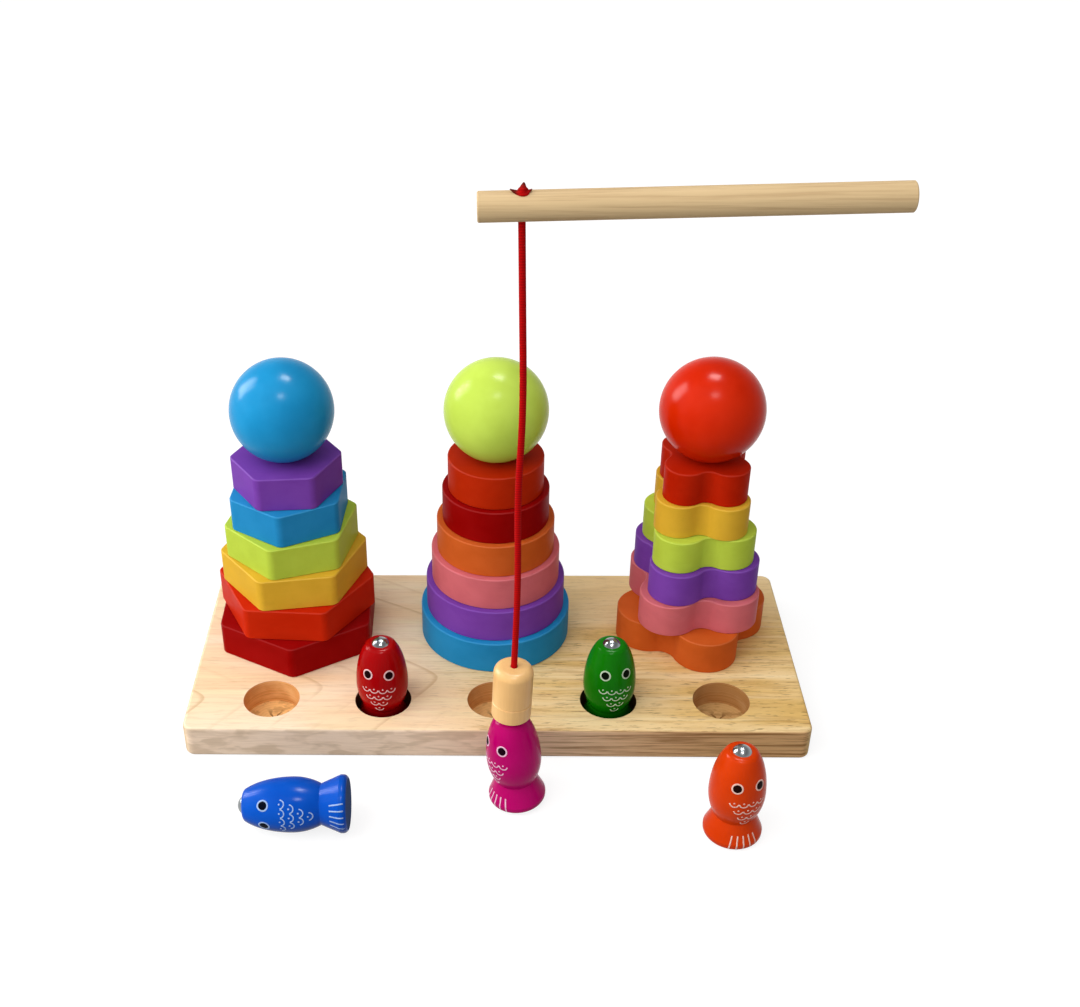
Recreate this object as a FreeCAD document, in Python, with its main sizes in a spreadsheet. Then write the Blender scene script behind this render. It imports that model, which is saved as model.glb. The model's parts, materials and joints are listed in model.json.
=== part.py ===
import FreeCAD, Part
import math
import os
import re

import Sketcher

# A wooden fishing game: a board with three towers of stacking rings on pegs, a row of five
# sockets for turned wooden fish, and a rod whose cord ends in a magnet.
# Millimetres, +Z up. The origin is the centre of the board's underside, +X runs along the
# board to the right, and the sockets are on the front side, -Y.

SIZES = (
    # The board
    ("board_length", 300.0),
    ("board_depth", 128.4),
    ("board_height", 17.1),
    ("board_corner", 5.0),
    ("board_edge", 1.5),
    # The row of sockets, in front of the board's centre line
    ("socket_pitch", 54.7),
    ("socket_row", 41.8),
    ("socket_depth", 13.0),
    ("socket_clearance", 0.6),
    # The row of towers, behind the board's centre line
    ("tower_pitch", 101.4),
    ("tower_row", 17.0),
    ("peg_radius", 5.0),
    ("peg_seat", 12.0),
    ("peg_fit", 0.05),
    ("peg_rise", 18.0),
    ("peg_edge", 1.5),
    # The stacking rings: each level is one step wider than the one above it
    ("ring_height", 17.3),
    ("ring_clearance", 1.0),
    ("ring_edge", 0.5),
    ("round_radius", 23.3),
    ("round_step", 2.9),
    ("hexagon_radius", 27.5),
    ("hexagon_step", 3.2),
    ("hexagon_corner", 4.5),
    ("petal_radius", 10.25),
    ("petal_radius_step", 1.19),
    ("petal_offset", 14.1),
    ("petal_offset_step", 1.64),
    ("petal_notch", 5.4),
    ("petal_notch_step", 0.6),
    ("petal_ring_shift", 0.9),
    # The balls, each with a small flat to sit on and a blind bore over the peg
    ("ball_radius", 24.9),
    ("ball_flat", 7.0),
    ("ball_bore_clearance", 0.5),
    ("ball_bore_spare", 2.0),
    # The turned fish, standing on their tails
    ("fish_length", 47.8),
    ("belly_radius", 12.5),
    ("belly_height", 25.0),
    ("head_flat", 6.6),
    ("head_edge", 3.0),
    ("neck_radius", 9.3),
    ("neck_height", 12.3),
    ("tail_radius", 13.1),
    ("tail_rim", 3.4),
    ("tail_edge", 2.2),
    ("screw_radius", 4.2),
    ("screw_dome", 2.4),
    ("shank_radius", 1.5),
    ("shank_length", 14.0),
    ("shank_fit", 0.05),
    # Where the three fish that are out of the sockets are
    ("orange_fish_x", 106.1),
    ("orange_fish_row", 111.5),
    ("blue_fish_x", -66.2),
    ("blue_fish_row", 109.7),
    ("pink_fish_x", 10.1),
    ("pink_fish_lean", 4.6),
    # The magnet in its turned holder, on the cord above the pink fish
    ("cord_row", 90.8),
    ("holder_radius", 8.8),
    ("holder_height", 18.8),
    ("holder_crown", 3.5),
    ("holder_lean", 2.0),
    ("holder_roof", 6.0),
    ("chamber_radius", 5.5),
    ("collar_height", 8.0),
    ("spigot_height", 4.0),
    ("spigot_fit", 0.05),
    ("seam_bevel", 0.4),
    ("magnet_radius", 5.0),
    ("magnet_height", 4.0),
    ("magnet_recess", 0.4),
    ("magnet_gap", 0.05),
    # The cord and its two knots
    ("cord_radius", 1.4),
    ("cord_clearance", 0.3),
    ("knot_radius", 2.8),
    ("knot_flat", 2.1),
    # The rod, held level above the game
    ("rod_radius", 5.5),
    ("rod_length", 152.4),
    ("rod_hole", 15.7),
    ("rod_edge", 0.4),
    ("rod_x", 7.75),
    ("rod_height", 284.3),
    ("rod_lean", 1.15),
)

# How far each ring of the left and right towers is turned on its peg, from the bottom up. The
# right tower's rings lie to the left on their peg, by petal_ring_shift.
HEXAGON_TURNS = (30.9, -3.5, 8.8, 17.8, 26.8, 4.6)
FLOWER_TURNS = (12.6, 49.1, 54.8, 51.1, 38.9, 42.7)

# The rings' and balls' colours, from the bottom up
HEXAGON_COLOURS = ("crimson", "orange_red", "yellow", "lime", "blue", "purple")
ROUND_COLOURS = ("blue", "purple", "pink", "orange", "crimson", "vermilion")
FLOWER_COLOURS = ("orange", "pink", "purple", "lime", "yellow", "red")
LEVELS = len(ROUND_COLOURS)

SOCKETS = 5
TOWERS = 3
HEXAGON_SIDES = 6
PETALS = 4

# The cord's way between the holder and the rod: x and z of the points that it bends at
CORD_BENDS = ((8.1, 93.0), (8.7, 126.0), (7.9, 164.0), (9.7, 203.0), (8.6, 248.0))

# Each arc of the cord takes this share of the shorter run beside its bend
ARC_SHARE = 0.45

# Formulas in terms of the sizes
SOCKET_RADIUS = "(tail_radius + socket_clearance)"
SOCKET_FLOOR = "(board_height - socket_depth)"
RING_BORE = "(peg_radius + ring_clearance)"
STACK_TOP = f"(board_height + {LEVELS} * ring_height)"
BALL_DROP = "sqrt(ball_radius ^ 2 - ball_flat ^ 2)"
SCREW_BALL = "((screw_radius ^ 2 + screw_dome ^ 2) / (2 * screw_dome))"
CORD_BORE = "(cord_radius + cord_clearance)"
KNOT_BALL = "((4 * knot_radius ^ 2 + knot_flat ^ 2) / (4 * knot_radius))"

# The pink fish leans on the left edge of its tail, and its screw touches the leaning magnet
LEAN_LIFT = "((tail_radius - tail_edge) * sin(pink_fish_lean) + tail_edge * (1 - cos(pink_fish_lean)))"
DOME_RISE = f"(fish_length + screw_dome - {SCREW_BALL})"
DOME_X = f"(pink_fish_x - {DOME_RISE} * sin(pink_fish_lean))"
DOME_Z = f"({LEAN_LIFT} + {DOME_RISE} * cos(pink_fish_lean))"
MAGNET_FACE = f"({SCREW_BALL} + magnet_gap)"

# The blue fish lies on its tail's rim and its belly, head to the left
LYING_DIP = "asin((tail_radius - belly_radius) / (belly_height - tail_rim))"
LYING_HEIGHT = f"(tail_radius * cos({LYING_DIP}) + tail_rim * sin({LYING_DIP}))"

FRONT_BACK_AXIS = FreeCAD.Vector(0, 1, 0)
UP_AXIS = FreeCAD.Vector(0, 0, 1)

doc = FreeCAD.newDocument("FishingGame")
sheet = doc.addObject("Spreadsheet::Sheet", "Sizes")


def fill_sheet():
    """One row for each driving size: its name, its value and the alias that formulas use."""
    rows = list(SIZES)
    for level in range(LEVELS):
        rows.append((f"hexagon_turn_{level}", HEXAGON_TURNS[level]))
        rows.append((f"flower_turn_{level}", FLOWER_TURNS[level]))
    for row, (name, value) in enumerate(rows, 1):
        sheet.set(f"A{row}", name)
        sheet.set(f"B{row}", str(value))
        sheet.setAlias(f"B{row}", name)
    doc.recompute()


def tied(formula):
    """A formula in the sizes' own names, as an expression that reads the sheet."""
    return re.sub(r"\b[a-z]+(_[a-z0-9]+)+\b", lambda name: f"Sizes.{name[0]}", formula)


def value(formula):
    """What a formula comes to now, in millimetres or degrees."""
    result = sheet.evalExpression(formula)
    return float(getattr(result, "Value", result))


def bind(thing, **formulas):
    """Binds properties of an object to formulas."""
    for name, formula in formulas.items():
        thing.setExpression(name, tied(formula))


def place(body, x="0", y="0", z="0", turn="0", axis=UP_AXIS):
    """Places a body by formulas: its origin, and its turn in degrees about an axis through it."""
    body.Placement = FreeCAD.Placement(FreeCAD.Vector(), FreeCAD.Rotation(axis, 1))
    body.setExpression("Placement.Rotation.Angle", tied(turn))
    body.setExpression("Placement.Base.x", tied(x))
    body.setExpression("Placement.Base.y", tied(y))
    body.setExpression("Placement.Base.z", tied(z))


def new_body(name):
    body = doc.addObject("PartDesign::Body", name)
    body.Label = name
    return body


def new_sketch(body, name, role, height=None):
    """A sketch on one of the body's own origin planes, raised along its normal by a formula."""
    plane = next(item for item in body.Origin.OriginFeatures if item.Role == role)
    sketch = body.newObject("Sketcher::SketchObject", name)
    sketch.AttachmentSupport = [(plane, "")]
    sketch.MapMode = "FlatFace"
    if height:
        sketch.setExpression("AttachmentOffset.Base.z", tied(height))
    return sketch


def constrain(sketch, formula, name, kind, *where):
    """Adds a dimension to a sketch and binds it to a formula."""
    index = sketch.addConstraint(Sketcher.Constraint(kind, *where, value(formula)))
    sketch.renameConstraint(index, name)
    sketch.setExpression(f"Constraints.{name}", tied(formula))


def fix_point(sketch, name, edge, end, x, y):
    """Holds a point of a sketch at x and y, which are formulas, or on an axis where one is 0."""
    for formula, kind, axis in ((x, "DistanceX", -2), (y, "DistanceY", -1)):
        if formula == "0":
            sketch.addConstraint(Sketcher.Constraint("PointOnObject", edge, end, axis))
        elif value(formula) < 0:
            constrain(sketch, f"-({formula})", f"{name}_{kind[-1].lower()}", kind, edge, end, -1, 1)
        else:
            constrain(sketch, formula, f"{name}_{kind[-1].lower()}", kind, -1, 1, edge, end)


def circle(sketch, radius, name="bore", x="0", y="0"):
    """A circle of the sketch, its radius and centre given by formulas."""
    centre = FreeCAD.Vector(value(x), value(y), 0)
    edge = sketch.addGeometry(Part.Circle(centre, UP_AXIS, value(radius)), False)
    constrain(sketch, radius, f"{name}_radius", "Radius", edge)
    if x == "0" and y == "0":
        sketch.addConstraint(Sketcher.Constraint("Coincident", edge, 3, -1, 1))
    else:
        fix_point(sketch, name, edge, 3, x, y)
    return edge


def bulge(start, end, radius):
    """An arc from start to end, anticlockwise, of less than half a turn."""
    chord = end - start
    left = FreeCAD.Vector(-chord.y, chord.x, 0).normalize()
    rise = math.sqrt(max(radius**2 - (chord.Length / 2) ** 2, 0.0))
    centre = (start + end) / 2 + left * rise
    angles = [math.atan2(point.y - centre.y, point.x - centre.x) for point in (start, end)]
    return Part.ArcOfCircle(Part.Circle(centre, UP_AXIS, radius), *angles)


def egg_end(start, end):
    """An arc of an upright ellipse about the axis, from its widest point up to a point near its tip."""
    centre = FreeCAD.Vector(0, start.y, 0)
    steepness = math.sqrt(1 - (end.x / start.x) ** 2)
    tip = FreeCAD.Vector(0, start.y + (end.y - start.y) / steepness, 0)
    ellipse = Part.Ellipse(tip, FreeCAD.Vector(-start.x, start.y, 0), centre)
    return Part.ArcOfEllipse(ellipse, 1.5 * math.pi, 2 * math.pi - math.asin(end.x / start.x))


def outline(sketch, corners, arcs):
    """A closed outline, anticlockwise, through corners given as pairs of formulas.

    arcs gives, for the edge that starts at a corner, the radius of an arc that bulges outwards,
    or egg for an arc of an ellipse.
    """
    points = [FreeCAD.Vector(value(x), value(y), 0) for x, y in corners]
    count = len(points)
    edges = []
    for index, start in enumerate(points):
        end = points[(index + 1) % count]
        if index not in arcs:
            shape = Part.LineSegment(start, end)
        elif arcs[index] == "egg":
            shape = egg_end(start, end)
        else:
            shape = bulge(start, end, value(arcs[index]))
        edges.append(sketch.addGeometry(shape, False))
    for index, edge in enumerate(edges):
        sketch.addConstraint(Sketcher.Constraint("Coincident", edge, 2, edges[(index + 1) % count], 1))
        fix_point(sketch, f"corner_{index}", edge, 1, *corners[index])
    for index, radius in arcs.items():
        edge = edges[index]
        if radius == "egg":
            sketch.exposeInternalGeometry(edge)
            long_axis = sketch.GeometryCount - 4
            sketch.addConstraint(Sketcher.Constraint("PointOnObject", edge, 3, -2))
            sketch.addConstraint(Sketcher.Constraint("Horizontal", edge, 1, edge, 3))
            sketch.addConstraint(Sketcher.Constraint("PointOnObject", long_axis, 1, -2))
        else:
            constrain(sketch, radius, f"arc_{index}_radius", "Radius", edge)


def turned(name, corners, arcs=None):
    """A body turned about its own Z axis: a half section of radii and heights."""
    body = new_body(name)
    section = new_sketch(body, f"{name}_section", "XZ_Plane")
    outline(section, corners, arcs or {})
    turning = body.newObject("PartDesign::Revolution", f"{name}_turned")
    turning.Profile = section
    turning.ReferenceAxis = (section, ["V_Axis"])
    turning.Angle = 360
    return body


def rounded(body, name, kind, edges, **formulas):
    """Rounds or bevels edges of a body's last feature."""
    base = body.Tip
    feature = body.newObject(f"PartDesign::{kind}", name)
    feature.Base = (base, edges)
    bind(feature, **formulas)
    doc.recompute()
    return feature


def edges_where(shape, test):
    """The names of the edges that a test of the edge accepts."""
    return [f"Edge{index}" for index, edge in enumerate(shape.Edges, 1) if test(edge)]


def is_upright(edge):
    box = edge.BoundBox
    return box.ZLength > 1e-3 and box.XLength < 1e-6 and box.YLength < 1e-6


def lies_at(edge, height):
    return abs(edge.BoundBox.ZMin - height) < 1e-6 and abs(edge.BoundBox.ZMax - height) < 1e-6


def pattern_row(body, name, feature, sketch, length, count):
    """Repeats a feature along the sketch's X axis."""
    row = body.newObject("PartDesign::LinearPattern", name)
    row.Originals = [feature]
    row.Direction = (sketch, ["H_Axis"])
    row.Occurrences = count
    bind(row, Length=length)
    body.Tip = row
    doc.recompute()


def drill_row(body, name, radius, depth, pitch, row, count):
    """A row of flat-bottomed blind holes in the board's top."""
    sketch = new_sketch(body, f"{name}_outline", "XY_Plane", "board_height")
    circle(sketch, radius, name, f"-{(count - 1) // 2} * {pitch}", row)
    volume = body.Shape.Volume
    hole = body.newObject("PartDesign::Pocket", f"{name}_hole")
    hole.Profile = sketch
    bind(hole, Length=depth)
    doc.recompute()
    if body.Shape.Volume >= volume:
        raise RuntimeError(f"{name} cuts nothing")
    pattern_row(body, f"{name}_row", hole, sketch, f"{count - 1} * {pitch}", count)


def make_board():
    """The board: rounded corners, eased edges, five sockets and three peg holes."""
    body = new_body("base_board")
    sketch = new_sketch(body, "board_outline", "XY_Plane")
    half_length, half_depth = "board_length / 2", "board_depth / 2"
    corners = (
        (f"-({half_length})", f"-({half_depth})"),
        (half_length, f"-({half_depth})"),
        (half_length, half_depth),
        (f"-({half_length})", half_depth),
    )
    outline(sketch, corners, {})
    slab = body.newObject("PartDesign::Pad", "board_slab")
    slab.Profile = sketch
    bind(slab, Length="board_height")
    doc.recompute()
    rounded(body, "board_corners", "Fillet", edges_where(body.Shape, is_upright), Radius="board_corner")
    faces = (0.0, value("board_height"))
    rims = edges_where(body.Shape, lambda edge: any(lies_at(edge, height) for height in faces))
    rounded(body, "board_edges", "Fillet", rims, Radius="board_edge")
    drill_row(body, "socket", SOCKET_RADIUS, "socket_depth", "socket_pitch", "-socket_row", SOCKETS)
    drill_row(body, "peg_hole", "peg_radius + peg_fit", "peg_seat", "tower_pitch", "tower_row", TOWERS)


def make_peg(name, x):
    """A dowel from the bottom of its hole in the board up into the ball."""
    length = f"(peg_seat + {LEVELS} * ring_height + peg_rise)"
    corners = (
        ("0", "0"),
        ("peg_radius", "0"),
        ("peg_radius", f"{length} - peg_edge"),
        ("peg_radius - peg_edge", length),
        ("0", length),
    )
    body = turned(name, corners)
    place(body, x, "tower_row", "board_height - peg_seat")


def stack(body, x, level, turn="0"):
    """Puts a ring on its peg at a level, the bottom one being 0."""
    place(body, x, "tower_row", f"board_height + {level} * ring_height", turn)


def bevel_rims(body, name):
    """Bevels a ring's outer edges at its top and bottom."""
    bore = value(RING_BORE)
    faces = (0.0, value("ring_height"))

    def is_outer_rim(edge):
        box = edge.BoundBox
        reach = max(abs(number) for number in (box.XMin, box.XMax, box.YMin, box.YMax))
        return reach > bore + 1e-3 and any(lies_at(edge, height) for height in faces)

    rounded(body, f"{name}_rims", "Chamfer", edges_where(body.Shape, is_outer_rim), Size="ring_edge")


def make_round_ring(name, level):
    """A disc with a bore, its outer edges bevelled."""
    radius = f"(round_radius + {LEVELS - 1 - level} * round_step)"
    corners = (
        (RING_BORE, "0"),
        (f"{radius} - ring_edge", "0"),
        (radius, "ring_edge"),
        (radius, "ring_height - ring_edge"),
        (f"{radius} - ring_edge", "ring_height"),
        (RING_BORE, "ring_height"),
    )
    stack(turned(name, corners), "0", level)


def make_hexagon_ring(name, level):
    """A hexagon with rounded corners and a bore, its outer edges bevelled."""
    radius = f"(hexagon_radius + {LEVELS - 1 - level} * hexagon_step)"
    body = new_body(name)
    sketch = new_sketch(body, f"{name}_outline", "XY_Plane")
    step = 2 * math.pi / HEXAGON_SIDES
    reach = value(radius)
    points = [
        FreeCAD.Vector(reach * math.cos(step * index), reach * math.sin(step * index), 0)
        for index in range(HEXAGON_SIDES)
    ]
    sides = [
        sketch.addGeometry(Part.LineSegment(points[index - 1], points[index]), False)
        for index in range(HEXAGON_SIDES)
    ]
    guide = sketch.addGeometry(Part.Circle(FreeCAD.Vector(), UP_AXIS, reach), True)
    sketch.addConstraint(Sketcher.Constraint("Coincident", guide, 3, -1, 1))
    constrain(sketch, radius, "corner_reach", "Radius", guide)
    for index, side in enumerate(sides):
        following = sides[(index + 1) % HEXAGON_SIDES]
        sketch.addConstraint(Sketcher.Constraint("Coincident", side, 2, following, 1))
        sketch.addConstraint(Sketcher.Constraint("PointOnObject", side, 1, guide))
        if index:
            sketch.addConstraint(Sketcher.Constraint("Equal", sides[0], side))
    sketch.addConstraint(Sketcher.Constraint("PointOnObject", sides[0], 2, -1))
    circle(sketch, RING_BORE)
    pad = body.newObject("PartDesign::Pad", f"{name}_pad")
    pad.Profile = sketch
    bind(pad, Length="ring_height")
    doc.recompute()

    def is_corner(edge):
        return is_upright(edge) and math.hypot(edge.BoundBox.XMin, edge.BoundBox.YMin) > reach - 1e-3

    rounded(body, f"{name}_corners", "Fillet", edges_where(body.Shape, is_corner), Radius="hexagon_corner")
    bevel_rims(body, name)
    stack(body, "-tower_pitch", level, f"hexagon_turn_{level}")


def make_flower_ring(name, level):
    """Four round petals about a hub with a bore, the notches between them rounded out."""
    steps = LEVELS - 1 - level
    petal = f"(petal_radius + {steps} * petal_radius_step)"
    offset = f"(petal_offset + {steps} * petal_offset_step)"
    notch = f"petal_notch + {steps} * petal_notch_step"
    body = new_body(name)
    hub_sketch = new_sketch(body, f"{name}_hub_outline", "XY_Plane")
    circle(hub_sketch, f"{offset} * cos(45)", "hub")
    hub = body.newObject("PartDesign::Pad", f"{name}_hub")
    hub.Profile = hub_sketch
    bind(hub, Length="ring_height")
    petal_sketch = new_sketch(body, f"{name}_petal_outline", "XY_Plane")
    circle(petal_sketch, petal, "petal", offset, "0")
    first = body.newObject("PartDesign::Pad", f"{name}_petal")
    first.Profile = petal_sketch
    bind(first, Length="ring_height")
    doc.recompute()
    petals = body.newObject("PartDesign::PolarPattern", f"{name}_petals")
    petals.Originals = [first]
    petals.Axis = (petal_sketch, ["N_Axis"])
    petals.Angle = 360
    petals.Occurrences = PETALS
    body.Tip = petals
    doc.recompute()
    reach = value(offset) * math.cos(math.pi / 4)

    def is_notch(edge):
        return is_upright(edge) and math.hypot(edge.BoundBox.XMin, edge.BoundBox.YMin) > reach

    rounded(body, f"{name}_notches", "Fillet", edges_where(body.Shape, is_notch), Radius=notch)
    bore_sketch = new_sketch(body, f"{name}_bore_outline", "XY_Plane")
    circle(bore_sketch, RING_BORE)
    bore = body.newObject("PartDesign::Pocket", f"{name}_bore")
    bore.Profile = bore_sketch
    bore.Type = "ThroughAll"
    bore.Reversed = True
    volume = body.Shape.Volume
    doc.recompute()
    if body.Shape.Volume >= volume:
        raise RuntimeError(f"{name}'s bore cuts nothing")
    bevel_rims(body, name)
    stack(body, "tower_pitch - petal_ring_shift", level, f"flower_turn_{level}")


def make_ball(name, x):
    """A ball on the top ring: a flat underneath and a blind bore for the end of the peg."""
    bore = "(peg_radius + ball_bore_clearance)"
    roof = "(peg_rise + ball_bore_spare)"
    corners = (
        (bore, "0"),
        ("ball_flat", "0"),
        ("0", f"{BALL_DROP} + ball_radius"),
        ("0", roof),
        (bore, roof),
    )
    body = turned(name, corners, {1: "ball_radius"})
    place(body, x, "tower_row", STACK_TOP)


def make_fish(name):
    """A turned fish: flared tail, neck, egg-shaped body, and a pilot hole for its screw."""
    pilot = "(shank_radius + shank_fit)"
    pilot_end = "(fish_length - shank_length - shank_fit)"
    corners = (
        ("0", "0"),
        ("tail_radius - tail_edge", "0"),
        ("tail_radius", "tail_edge"),
        ("tail_radius", "tail_rim"),
        ("neck_radius", "neck_height"),
        ("belly_radius", "belly_height"),
        ("head_flat", "fish_length"),
        (pilot, "fish_length"),
        (pilot, pilot_end),
        ("0", pilot_end),
    )
    rise, swell = "(belly_height - neck_height)", "(belly_radius - neck_radius)"
    belly_curve = f"({rise} ^ 2 + {swell} ^ 2) / (2 * {swell})"
    body = turned(name, corners, {1: "tail_edge", 4: belly_curve, 5: "egg"})
    doc.recompute()
    head = value("fish_length")
    reach = value("head_flat")

    def is_head_rim(edge):
        return lies_at(edge, head) and edge.BoundBox.XMax > reach - 1e-3

    rounded(body, f"{name}_head", "Fillet", edges_where(body.Shape, is_head_rim), Radius="head_edge")
    return body


def make_screw(name):
    """A domed steel screw in the fish's head: the magnet's catch."""
    corners = (
        ("0", "-shank_length"),
        ("shank_radius", "-shank_length"),
        ("shank_radius", "0"),
        ("screw_radius", "0"),
        ("0", "screw_dome"),
    )
    return turned(name, corners, {3: SCREW_BALL})


def make_pair(colour, x, y, z, tilt="0"):
    """A fish and its screw, tilted in the XZ plane by an angle that is positive to the right."""
    place(make_fish(f"fish_{colour}"), x, y, z, tilt, FRONT_BACK_AXIS)
    screw_x = f"{x} + fish_length * sin({tilt})"
    screw_z = f"{z} + fish_length * cos({tilt})"
    place(make_screw(f"fish_screw_{colour}"), screw_x, y, screw_z, tilt, FRONT_BACK_AXIS)


def make_all_fish():
    """Two fish in the second and fourth sockets, and three in front of the board."""
    make_pair("red", "-socket_pitch", "-socket_row", SOCKET_FLOOR)
    make_pair("green", "socket_pitch", "-socket_row", SOCKET_FLOOR)
    make_pair("orange", "orange_fish_x", "-orange_fish_row", "0")
    make_pair("blue", "blue_fish_x", "-blue_fish_row", LYING_HEIGHT, f"-(90 deg + {LYING_DIP})")
    make_pair("pink", "pink_fish_x", "-cord_row", LEAN_LIFT, "-pink_fish_lean")


def hang(body, along):
    """Places a piece of the magnet holder: its origin a distance along the holder from the magnet's face."""
    distance = f"({MAGNET_FACE} + {along})"
    x = f"{DOME_X} + {distance} * sin(holder_lean)"
    z = f"{DOME_Z} + {distance} * cos(holder_lean)"
    place(body, x, "-cord_row", z, "holder_lean", FRONT_BACK_AXIS)


def make_magnet_end():
    """The turned holder, its collar with the magnet, and the cord's end knot in its chamber."""
    spigot = "(chamber_radius - spigot_fit)"
    pocket = "(magnet_recess + magnet_height)"
    ceiling = "(holder_height - holder_roof)"
    collar = (
        ("magnet_radius", "0"),
        ("holder_radius - seam_bevel", "0"),
        ("holder_radius", "seam_bevel"),
        ("holder_radius", "collar_height - seam_bevel"),
        ("holder_radius - seam_bevel", "collar_height"),
        (spigot, "collar_height"),
        (spigot, "collar_height + spigot_height"),
        ("0", "collar_height + spigot_height"),
        ("0", pocket),
        ("magnet_radius", pocket),
    )
    hang(turned("magnet_collar", collar), "(-magnet_recess)")
    magnet = (
        ("0", "0"),
        ("magnet_radius", "0"),
        ("magnet_radius", "magnet_height"),
        ("0", "magnet_height"),
    )
    hang(turned("magnet", magnet), "0")
    holder = (
        ("chamber_radius", "0"),
        ("holder_radius - seam_bevel", "0"),
        ("holder_radius", "seam_bevel"),
        ("holder_radius", "holder_height - holder_crown"),
        ("holder_radius - holder_crown", "holder_height"),
        (CORD_BORE, "holder_height"),
        (CORD_BORE, ceiling),
        ("chamber_radius", ceiling),
    )
    hang(turned("magnet_holder", holder, {3: "holder_crown"}), "(collar_height - magnet_recess)")
    knot = (
        ("0", "-2 * knot_radius"),
        ("knot_flat", "0"),
        ("0", "0"),
    )
    hang(turned("cord_end_knot", knot, {0: KNOT_BALL}), f"(collar_height - magnet_recess + {ceiling})")


def make_rod():
    """A plain dowel with a cross hole near its end for the cord."""
    body = new_body("fishing_rod")
    sketch = new_sketch(body, "rod_outline", "YZ_Plane", "-rod_hole")
    circle(sketch, "rod_radius", "rod")
    dowel = body.newObject("PartDesign::Pad", "rod_dowel")
    dowel.Profile = sketch
    bind(dowel, Length="rod_length")
    doc.recompute()
    ends = edges_where(body.Shape, lambda edge: edge.BoundBox.XLength < 1e-6)
    rounded(body, "rod_ends", "Chamfer", ends, Size="rod_edge")
    hole_sketch = new_sketch(body, "rod_hole_outline", "XY_Plane")
    circle(hole_sketch, CORD_BORE)
    volume = body.Shape.Volume
    hole = body.newObject("PartDesign::Pocket", "rod_cross_hole")
    hole.Profile = hole_sketch
    hole.Type = "ThroughAll"
    hole.Midplane = True
    doc.recompute()
    if body.Shape.Volume >= volume:
        raise RuntimeError("the rod's hole cuts nothing")
    place(body, "rod_x", "-cord_row", "rod_height", "-rod_lean", FRONT_BACK_AXIS)


def make_rod_knot():
    """The knot on top of the rod, over the cord's hole."""
    knot = (
        ("0", "0"),
        ("knot_flat", "0"),
        ("0", "2 * knot_radius"),
    )
    body = turned("cord_rod_knot", knot, {1: KNOT_BALL})
    x = "rod_x - rod_radius * sin(rod_lean)"
    z = "rod_height + rod_radius * cos(rod_lean)"
    place(body, x, "-cord_row", z, "-rod_lean", FRONT_BACK_AXIS)


def cord_route():
    """The points of the cord, from the knot in the holder up to the knot on the rod."""
    knot = doc.getObject("cord_end_knot").Placement.Base
    top = doc.getObject("cord_rod_knot").Placement.Base
    row = -value("cord_row")
    bends = [FreeCAD.Vector(x, row, z) for x, z in CORD_BENDS]
    return [knot, *bends, top]


def cord_path(points):
    """Straight runs joined by tangent arcs, each as large as the runs beside it allow."""
    edges = []
    last = points[0]
    for before, corner, after in zip(points, points[1:], points[2:]):
        back = before - corner
        ahead = after - corner
        half_turn = (math.pi - back.getAngle(ahead)) / 2
        cut = ARC_SHARE * min(back.Length, ahead.Length)
        radius = cut / math.tan(half_turn)
        start = corner + back.normalize() * cut
        end = corner + ahead.normalize() * cut
        middle_way = (back + ahead).normalize()
        middle = corner + middle_way * (radius / math.cos(half_turn) - radius)
        edges.append(Part.LineSegment(last, start).toShape())
        edges.append(Part.Arc(start, middle, end).toShape())
        print(f"cord bend at {corner.z:.0f} mm up: radius {radius:.0f} mm")
        last = end
    edges.append(Part.LineSegment(last, points[-1]).toShape())
    return Part.Wire(edges)


def make_cord():
    """The cord: a round tube from knot to knot."""
    points = cord_route()
    path = cord_path(points)
    radius = value("cord_radius")
    ring = Part.Wire(Part.Circle(points[0], points[1] - points[0], radius).toShape())
    tube = path.makePipeShell([ring], True, False)
    section_volume = math.pi * radius**2 * path.Length
    if abs(tube.Volume - section_volume) > 0.01 * section_volume:
        raise RuntimeError("the cord's volume is not its section times its length")
    print(f"cord length {path.Length:.1f} mm from knot to knot")
    cord = doc.addObject("Part::Feature", "cord")
    cord.Label = "cord"
    cord.Shape = tube
    return cord


def check_and_write(pieces):
    """Checks every object and every piece's shape, then writes one STEP file a piece."""
    for thing in doc.Objects:
        if "Invalid" in thing.State or "Error" in thing.State:
            raise RuntimeError(f"{thing.Label} failed: {thing.State}")
    for piece in pieces:
        shape = piece.Shape
        if shape.isNull() or not shape.isValid() or len(shape.Solids) != 1:
            raise RuntimeError(f"{piece.Label} is not one valid solid")
    os.makedirs("parts", exist_ok=True)
    for piece in pieces:
        piece.Shape.exportStep(f"parts/{piece.Label}.step")
    print(f"{len(pieces)} pieces written")


def main():
    fill_sheet()
    make_board()
    for name, x in (("left", "-tower_pitch"), ("middle", "0"), ("right", "tower_pitch")):
        make_peg(f"peg_{name}", x)
    for level in range(LEVELS):
        make_hexagon_ring(f"hexagon_ring_{HEXAGON_COLOURS[level]}", level)
        make_round_ring(f"round_ring_{ROUND_COLOURS[level]}", level)
        make_flower_ring(f"flower_ring_{FLOWER_COLOURS[level]}", level)
    for colour, x in (("blue", "-tower_pitch"), ("lime", "0"), ("red", "tower_pitch")):
        make_ball(f"ball_{colour}", x)
    make_all_fish()
    make_magnet_end()
    make_rod()
    make_rod_knot()
    doc.recompute()
    cord = make_cord()
    doc.recompute()
    bodies = [thing for thing in doc.Objects if thing.TypeId == "PartDesign::Body"]
    check_and_write([*bodies, cord])


main()
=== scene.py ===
import json
import math

import bmesh
import bpy
from mathutils import Matrix, Vector


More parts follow.
